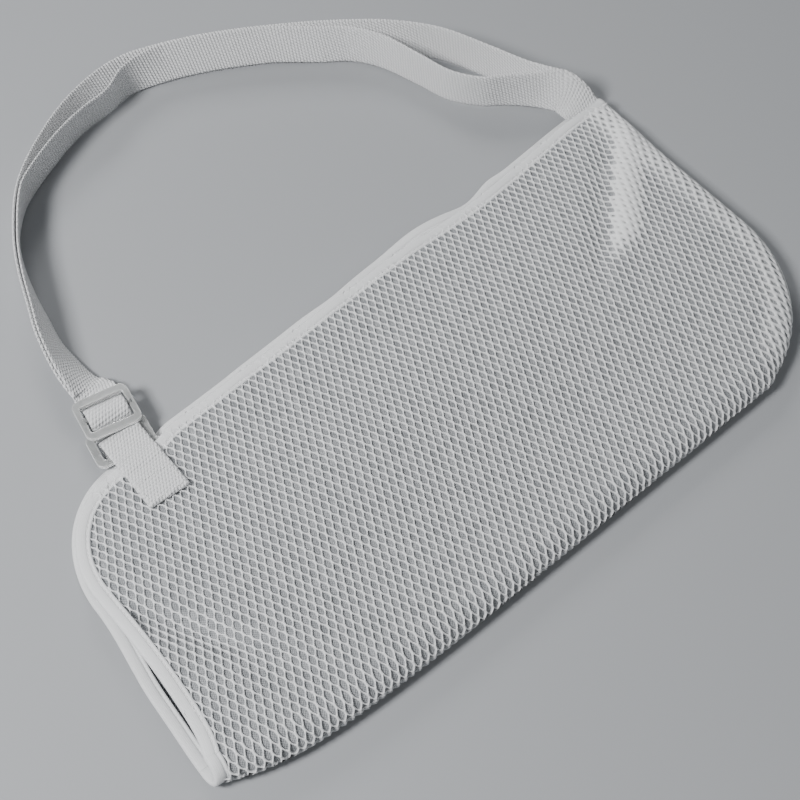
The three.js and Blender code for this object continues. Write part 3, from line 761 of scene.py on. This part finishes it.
def ribbon_frames(line):
    """Frames of a ribbon from rows of x, y, z and roll in degrees."""
    at = line[:, :3]
    tangent = np.gradient(at, axis=0)
    tangent /= np.linalg.norm(tangent, axis=1, keepdims=True)
    flat_side = np.cross(tangent, [0.0, 0.0, 1.0])
    flat_side /= np.linalg.norm(flat_side, axis=1, keepdims=True)
    rise = np.cross(flat_side, tangent)
    roll = np.radians(line[:, 3])[:, None]
    across = flat_side * np.cos(roll) + rise * np.sin(roll)
    return at, across, np.cross(across, tangent)


def next_layer(line):
    """The line of a second layer lying against the first."""
    at, _, up = ribbon_frames(line)
    return np.column_stack([at + up * LAYER_STEP, line[:, 3]])


def rest(stations, lift=0.0):
    """Adds heights to x, y, roll stations: the lower edge on the floor, but the middle at lift or above."""
    s = np.array([row[:3] for row in stations], float)
    z = np.maximum(WEB_W / 2 * np.sin(np.radians(s[:, 2])) + WEB_T / 2, lift)
    return np.column_stack([s[:, :2], z, s[:, 2]])


# Stations of the two runs: x, y, and roll in degrees, 0 lying flat and 90 standing on edge
ELBOW_START = [(223, 72, 0), (225.5, 89, 0), (229, 102, 7)]
OUTER_LENS = [(228.6, 111, 36), (225.6, 119.5, 57), (220, 128, 70), (213.5, 143, 77),
              (204, 172, 81), (190, 203, 80), (168, 228, 74)]
JOINED_TOP = [(133, 254, 68), (101, 273, 65), (70, 289, 63), (38, 301, 62)]
OUTER_CREST = [(8, 307, 64), (-30, 299, 78), (-64, 281, 84)]
JOINED_LEFT = [(-97, 256, 95), (-118.5, 225, 99), (-128.5, 197, 86), (-135.5, 168, 73),
               (-139.5, 150, 64), (-140.6, 134, 52), (-140.6, 121, 42), (-139.3, 112.5, 31),
               (-136.8, 106.6, 10)]
INNER_LENS = [(217, 127, 70), (208, 134.5, 79), (197, 142.5, 85), (184, 151, 88), (171, 168, 86),
              (164, 192, 84), (155, 221, 78), (143, 239, 73), (126, 252, 68)]
INNER_CREASE = [(8, 300.5, 84), (-12, 292, 98), (-34, 287, 99), (-60, 276, 95)]
OUTER_STEP = [1.5, 3.0, 3.0, 1.5]
SPAN_POINTS = 8


def strap_lines():
    """Centre lines of the outer and inner runs, as rows of x, y, z, roll.

    The inner run lies against the outer one where they are joined, and has its own way between.
    """
    in_pouch = BACK_TOP + STRAP_GAP + WEB_T / 2
    at_slider = HARDWARE_Z - LAYER_STEP / 2
    outer = np.concatenate([
        rest(ELBOW_START, in_pouch), rest(OUTER_LENS), rest(JOINED_TOP), rest(OUTER_CREST),
        rest(JOINED_LEFT, at_slider),
    ])
    per = SPAN_POINTS
    beside = next_layer(curve_points(outer, per))
    outer[len(ELBOW_START):len(ELBOW_START) + len(OUTER_STEP), 2] += OUTER_STEP

    def part(first, last):
        return beside[per * first:per * last + 1]

    joined = len(ELBOW_START) + len(OUTER_LENS)
    split = joined + len(JOINED_TOP)
    first = part(0, len(ELBOW_START) + 1)
    top = part(joined + 1, split - 1)
    last = part(split + len(OUTER_CREST), len(outer) - 1)

    def own(before, stations, after):
        ends = [before[-1 - per // 2], before[-1]], [after[0], after[per // 2]]
        bridge = curve_points(np.concatenate([ends[0], rest(stations), ends[1]]), per)
        return bridge[per + 1:-per - 1]

    inner = np.concatenate([first, own(first, INNER_LENS, top), top, own(top, INNER_CREASE, last), last])
    return curve_points(outer, per), inner


def resample(line, spacing):
    """Rows of x, y, z and more, at even distances."""
    along = lengths(line[:, :3])
    return columns_at(np.linspace(0, along[-1], int(along[-1] / spacing) + 1), along, line)


def web_piece(name, at, across, width=WEB_W):
    """Webbing along a centre line, with its ribs raised across both faces."""
    along = lengths(at)
    s = np.arange(0, along[-1], RIB_PITCH / 4)
    at, across = columns_at(s, along, at), columns_at(s, along, across)
    tangent = np.gradient(at, axis=0)
    tangent /= np.linalg.norm(tangent, axis=1, keepdims=True)
    across -= tangent * (across * tangent).sum(1, keepdims=True)
    across /= np.linalg.norm(across, axis=1, keepdims=True)
    up = np.cross(across, tangent)
    section = webbing_section(width)
    around = lengths(section)
    waves = np.cos(2 * np.pi * (s[:, None] + RIB_SLANT * around) / RIB_PITCH)
    rib = RIB * waves * np.sign(np.round(section[:, 1], 3))
    x, y = section[:, 0][None, :, None], (section[:, 1][None] + rib)[..., None]
    rings = at[:, None] + across[:, None] * x + up[:, None] * y
    flat = [at[k] + across[k] * section[:, :1] * 0.99 + up[k] * section[:, 1:] * 0.02 for k in (0, -1)]
    points, quads, uv = skin(np.concatenate([flat[0][None], rings, flat[1][None]]))
    return make_piece(name, points, quads, WEBBING, uv)


def cut_strap(line):
    """Centre line and across vectors of a run, above and below the cut by the slider."""
    line = resample(line, 1.0)
    at, across, _ = ribbon_frames(line)
    cut = int(np.argmax((line[:, 0] < 0) & (line[:, 1] < CUT_Y)))
    return (at[:cut + 1], across[:cut + 1]), (at[cut:], across[cut:])


def bent_frames(line, turn, origin):
    """Centre line and across vectors of webbing bent along [along, height] points in an upright plane."""
    c, s = math.cos(turn), math.sin(turn)
    at = np.stack([-s * line[:, 0], c * line[:, 0], line[:, 1]], -1) + origin
    return at, np.tile([c, s, 0.0], (len(line), 1))


def half_turn(middle, z, radius, side):
    """Points down a half circle that bulges to one side."""
    a = np.pi * (0.5 - np.linspace(0, 1, 13))
    return [(middle + side * radius * math.cos(t), z + radius * math.sin(t)) for t in a]


def smooth_line(points, spacing=0.8):
    line = np.column_stack([np.asarray(points, float), np.zeros(len(points))])
    return resample(curve_points(line, 6), spacing)[:, :2]


# ---------------------------------------------------------------------------------------------
# Ring and slider
# ---------------------------------------------------------------------------------------------

def rounded_rectangle(width, height, radius, per=9):
    """Plan points round a rectangle, per points to a corner."""
    x, y = width / 2 - radius, height / 2 - radius
    out = []
    for k, (corner_x, corner_y) in enumerate([(x, -y), (x, y), (-x, y), (-x, -y)]):
        a = np.linspace(-np.pi / 2, 0, per) + k * np.pi / 2
        out.append(np.stack([corner_x + radius * np.cos(a), corner_y + radius * np.sin(a)], -1))
    return np.concatenate(out)


def bar_section(width, thick, power=3.2):
    """A bar's section between an ellipse and a rectangle, squarer with a higher power."""
    a = np.arange(32) * np.pi / 16
    x = np.sign(np.cos(a)) * np.abs(np.cos(a)) ** (2 / power) * width / 2
    y = np.sign(np.sin(a)) * np.abs(np.sin(a)) ** (2 / power) * thick / 2
    return np.stack([x, y], -1)


def moulded_frame(outer, window, corner):
    """A moulded plate round a window, thinner between its rims, with how near each point is to a rim."""
    out = rounded_rectangle(*outer, corner)
    inner = rounded_rectangle(*window, WINDOW_CORNER)
    x = bar_section(1.0, 1.0, 5)[:, 0] * 2
    y = bar_section(1.0, PLATE_T, 5)[:, 1] * (1 - 0.3 * (1 - np.abs(x) ** 6))
    plan = (out + inner)[:, None] / 2 + (out - inner)[:, None] / 2 * x[None, :, None]
    rings = np.concatenate([plan, np.broadcast_to(y[None, :, None], (*plan.shape[:2], 1))], -1)
    # The nearness to a rim feeds the plastic's painted rim highlight.
    return *skin(rings, closed_path=True), np.tile(np.abs(x) ** 6, len(plan))


def cross_bar(length, bar, thick):
    x = np.linspace(-length / 2, length / 2, 24)
    at = np.column_stack([x, 0 * x, 0 * x])
    across = np.tile([0.0, 1.0, 0.0], (len(x), 1))
    up = np.tile([0.0, 0.0, 1.0], (len(x), 1))
    rings = sweep(bar_section(bar, thick), at, across, up)
    return *skin(rings), np.zeros(rings.shape[0] * rings.shape[1])


def to_hardware(points, along, lift):
    """Points of a plate along the strap from the ring's bar and above it, in the pouch's plan."""
    c, s = math.cos(HARDWARE_TURN), math.sin(HARDWARE_TURN)
    x, y, z = points[:, 0], points[:, 1] + along, points[:, 2] + lift
    return np.stack([c * x - s * y + RING_BAR[0], s * x + c * y + RING_BAR[1], z + HARDWARE_Z], -1)


def make_hardware(name, parts, along, lift):
    points, quads, uv = join_meshes([part[:3] for part in parts])
    # How near each point is to a rim, for the painted rim highlight.
    edge = np.concatenate([part[3] for part in parts])
    return make_piece(name, to_hardware(points, along, lift), quads, PLASTIC, uv, dict(edge=edge))


# ---------------------------------------------------------------------------------------------
# Build the sling
# ---------------------------------------------------------------------------------------------

def ends(points):
    """The start and end of a blend, from two plan points."""
    start, end = to_cad(points)
    return dict(start=tuple(start), end=tuple(end))


def build_pouch():
    front_core = make_core("pouch_front_core", 1, 0.0)
    front_net = make_net("pouch_front_mesh", 1, 0.0)
    back_core = make_core("pouch_back_core", -1, BACK_PROUD)
    back_net = make_net("pouch_back_mesh", -1, BACK_PROUD)
    front_tape = make_binding("front_binding", 1, 0.0)
    back_tape = make_binding("back_binding", -1, BACK_PROUD)
    path = frames_along(tape_line(1, 0.0))
    front_thread = make_stitches("front_binding_stitches", path, TAPE_STITCH_IN, TAPE_STITCH_UP)
    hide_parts("front_panel")
    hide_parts("back_panel", "bottom_fold", "elbow_fold")
    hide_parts("front_top_binding", "front_hand_binding")
    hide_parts("back_top_binding", "back_hand_binding")
    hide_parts("front_top_thread", "front_hand_thread")
    for piece in (front_core, front_net, front_tape, front_thread):
        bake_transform(piece)
    for piece in (back_core, back_net, back_tape):
        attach(piece, "pouch_back")
    return front_core, back_core


def build_fold_binding():
    """The tape's turn round the fold, from the end of the front tape to the end of the back one."""
    front = tape_line(1, 0.0)[-1]
    back = tape_line(-1, BACK_PROUD)[-1]
    reach = front[1] - float(fold_y(front[0])) + 0.5
    a = np.linspace(0, np.pi, 40)
    at = front + (back - front) * ((1 - np.cos(a)) / 2)[:, None]
    at[:, 1] -= reach * np.sin(a)
    inward = np.tile([1.0, 0.0, 0.0], (len(a), 1))
    up = np.stack([0 * a, -np.sin(a), np.cos(a)], -1)
    lap = 1.5
    at = np.concatenate([at[:1] + [0, lap, 0], at, at[-1:] + [0, lap, 0]])
    inward, up = np.concatenate([inward[:1], inward, inward[:1]]), np.concatenate([up[:1], up, up[-1:]])
    points, quads, uv = skin(sweep(tape_section() * [1.0, 1.01], at, inward, up))
    piece = make_piece("fold_tape", points, quads, TAPE, uv)
    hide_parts("fold_binding")
    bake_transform(piece)


def build_elbow_seam():
    """The sewn ridge from the top corner down to the tip."""
    y = np.linspace(SEAM_LOW_Y - 2, float(top_y(ELBOW_X)) - 6, 60)
    x = ELBOW_X + seam_lean(y) - 0.4 + 0.35 * np.sin(y / 4.7)
    at = np.column_stack([x, y, EDGE_Z + 0.5 * np.sin(y / 9)])
    size = (0.35 + 0.65 * np.sin(np.linspace(0, np.pi, 60)) ** 0.4)[:, None]
    out = np.tile([1.0, 0.0, 0.0], (len(y), 1)) * size
    up = np.tile([0.0, 0.0, 1.0], (len(y), 1)) * size
    points, quads, uv = skin(sweep(bar_section(2.6, 2.2, 2.4), at, out, up))
    ridge = make_piece("elbow_seam_ridge", points, quads, TAPE, uv)
    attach(ridge, "pouch_back")
    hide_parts("elbow_seam")


def build_straps():
    """Two upper runs, and one length that comes down, goes round the ring and runs back up."""
    (outer_top, outer_low), (inner_top, inner_low) = (cut_strap(line) for line in strap_lines())
    for name, run, node in (
        ("strap_outer", outer_top, "strap_outer_run"), ("strap_inner", inner_top, "strap_inner_run"),
    ):
        piece = web_piece(name, *run)
        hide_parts(node)
        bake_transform(piece)
    wrap = RING_BAR_W / 2 + 0.5 + WEB_T / 2
    half = LAYER_STEP / 2
    closed = RING_BARS + FOOT_END
    line = [(STRAIGHT_END, half), (closed + 3, half), (closed, half), *half_turn(RING_BARS, 0, wrap, -1),
            (closed, -half), (closed + 3, -half), (STRAIGHT_END, -half)]
    turn_at, turn_across = bent_frames(smooth_line(line[::-1]), HARDWARE_TURN, (*RING_BAR, HARDWARE_Z))
    at = np.concatenate([outer_low[0][:-2], turn_at, inner_low[0][::-1][2:]])
    across = np.concatenate([outer_low[1][:-2], -turn_across, inner_low[1][::-1][2:]])
    loop = web_piece("strap_lower", at, across)
    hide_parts("strap_ring_turn")
    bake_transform(loop)


def build_tab():
    """Webbing sewn on the front with its end turned under, up through the ring and back inside."""
    def over(y):
        return float(front_height(TAB_X, y)) + MESH_T / 2 + 0.5 + WEB_T / 2

    def under(y):
        return float(front_height(TAB_X, y)) - MESH_T / 2 - 0.4 - WEB_T / 2

    edge = TOP_Y - BIND_W
    hem_end, fold_r = TAB_LOW + TAB_HEM, WEB_T / 2 + 0.1
    hem = [
        (hem_end, over(hem_end)), (TAB_LOW + 3, over(TAB_LOW + 3)),
        *half_turn(TAB_LOW + fold_r, over(TAB_LOW) + fold_r, fold_r, -1)[::-1],
        (TAB_LOW + 3, over(TAB_LOW + 3) + 2 * fold_r), (hem_end - 1, over(hem_end - 1) + 2 * fold_r),
    ]
    line = [(y, z - TAB_SUNK) for y, z in hem] + [
        (hem_end + 2.5, over(hem_end + 2.5) + 0.2),
        (edge - 2, over(edge - 2) + 0.1), (edge + 1, over(edge) + 0.6),
        (TOP_Y - 1, over(TOP_Y) + 0.6), (TOP_Y + 3, HARDWARE_Z + TAB_LOOP_R + 0.2),
        *half_turn(TAB_HIGH, HARDWARE_Z, TAB_LOOP_R, 1),
        (TOP_Y + 3, HARDWARE_Z - TAB_LOOP_R), (edge, under(edge) - 0.4), (TAB_INSIDE, under(TAB_INSIDE)),
    ]
    tab = web_piece("tab", *bent_frames(smooth_line(line), 0.0, (TAB_X, 0.0, 0.0)))
    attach(tab, "pouch_front")
    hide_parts("tab_webbing")
    box = rounded_rectangle(BOX_W, BOX_H, 0.8, 3)
    box = np.concatenate([box, box[:1]])
    x, y = box[:, 0] + TAB_X, box[:, 1] + TAB_LOW + BOX_UP
    z = np.array([over(v) for v in y]) + 2 * fold_r + WEB_T / 2 - TAB_SUNK
    line = resample(np.column_stack([x, y, z]), 0.5)
    stitches = make_stitches("tab_stitches", frames_along(line), 0.0, 0.1, pitch=2.4, length=1.9)
    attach(stitches, "pouch_front")
    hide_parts("tab_box_stitch")


def build_hardware():
    ring = make_hardware("ring_frame", [
        moulded_frame((RING_W, RING_BARS + RING_BAR_W), (RING_WINDOW, RING_BARS - RING_BAR_W), RING_CORNER),
    ], RING_BARS / 2, 0.0)
    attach(ring, "ring_end")
    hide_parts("ring")
    window = (SLIDER_W - 2 * SLIDER_SIDE, SLIDER_H - 2 * SLIDER_BAR)
    slider = make_hardware("slider_frame", [
        moulded_frame((SLIDER_W, SLIDER_H), window, SLIDER_CORNER),
        cross_bar(SLIDER_W - SLIDER_SIDE, CENTRE_BAR, PLATE_T * 0.9),
    ], SLIDER_AT, SLIDER_LIFT + PLATE_T / 2)
    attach(slider, "slider_end")
    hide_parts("slider")


def build_hump():
    """The webbing's hump over the slider's middle bar."""
    foot = LAYER_STEP / 2 + WEB_T + 0.6
    crest = SLIDER_LIFT + PLATE_T + 0.7 + WEB_T / 2
    a = np.linspace(0, np.pi, 60)
    line = np.stack([SLIDER_AT - HUMP_HALF * np.cos(a), foot + (crest - foot) * np.sin(a) ** 0.7], -1)
    hump = web_piece("strap_over_bar", *bent_frames(line, HARDWARE_TURN, (*RING_BAR, HARDWARE_Z)), HUMP_W)
    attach(hump, "slider_end")
    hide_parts("strap_hump")


def build_bartack():
    """A close zigzag of thread across the strap's ends."""
    rows = []
    for k, across in enumerate(np.linspace(-TACK_HALF, TACK_HALF, 28)):
        side = 1 if k % 2 else -1
        rows.append((TACK_X + across + 0.35 * side, TACK_Y + TACK_STEP * side, TACK_Z))
    path = frames_along(resample(np.array(rows), 0.4))
    piece = make_stitches("strap_end_bartack", path, 0.0, 0.0, pitch=3.3, length=3.1)
    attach(piece, "pouch_back")
    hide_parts("strap_bartack")


def build_stage():
    """A plain grey floor, a camera from above and to the hand side, and soft studio light."""
    bpy.ops.mesh.primitive_plane_add(size=8, location=(0, 0, -0.0002))
    floor = bpy.context.object
    floor.name = "studio_floor"
    f = Finish("studio_floor", (0.36, 0.37, 0.385), 0.8)
    floor.data.materials.append(f.material)

    level = math.cos(CAMERA_TILT)
    forward = [math.sin(CAMERA_TURN) * level, math.cos(CAMERA_TURN) * level, -math.sin(CAMERA_TILT)]
    camera_data = bpy.data.cameras.new("camera")
    camera_data.lens = LENS
    camera_data.sensor_width = 36
    camera = bpy.data.objects.new("camera", camera_data)
    camera.location = to_cad([0.0, 0.0, 0.0]) - np.array(forward) * CAMERA_DISTANCE
    camera.rotation_euler = (math.pi / 2 - CAMERA_TILT, 0, -CAMERA_TURN)
    bpy.context.scene.collection.objects.link(camera)
    bpy.context.scene.camera = camera

    def area_light(name, place, energy, size):
        """A soft square light that looks at the middle of the part."""
        data = bpy.data.lights.new(name, "AREA")
        data.energy = energy
        data.size = size
        light = bpy.data.objects.new(name, data)
        light.location = place
        aim = -np.array(place)
        light.rotation_euler = (
            math.acos(-aim[2] / np.linalg.norm(aim)), 0, math.atan2(aim[1], aim[0]) - math.pi / 2,
        )
        bpy.context.scene.collection.objects.link(light)

    area_light("key", (-1.0, 0.0, 1.1), 27, 0.4)
    area_light("fill", (0.6, -1.2, 1.2), 4, 1.0)
    area_light("back", (0.5, 1.4, 0.9), 12, 0.5)
    world = bpy.data.worlds.new("studio")
    bpy.context.scene.world = world
    world.use_nodes = True
    world.node_tree.nodes["Background"].inputs["Color"].default_value = (0.9, 0.95, 1, 1)
    world.node_tree.nodes["Background"].inputs["Strength"].default_value = 0.14


build_stage()
front_core, back_core = build_pouch()
build_fold_binding()
build_elbow_seam()
build_straps()
build_bartack()
build_tab()
build_hardware()
build_hump()
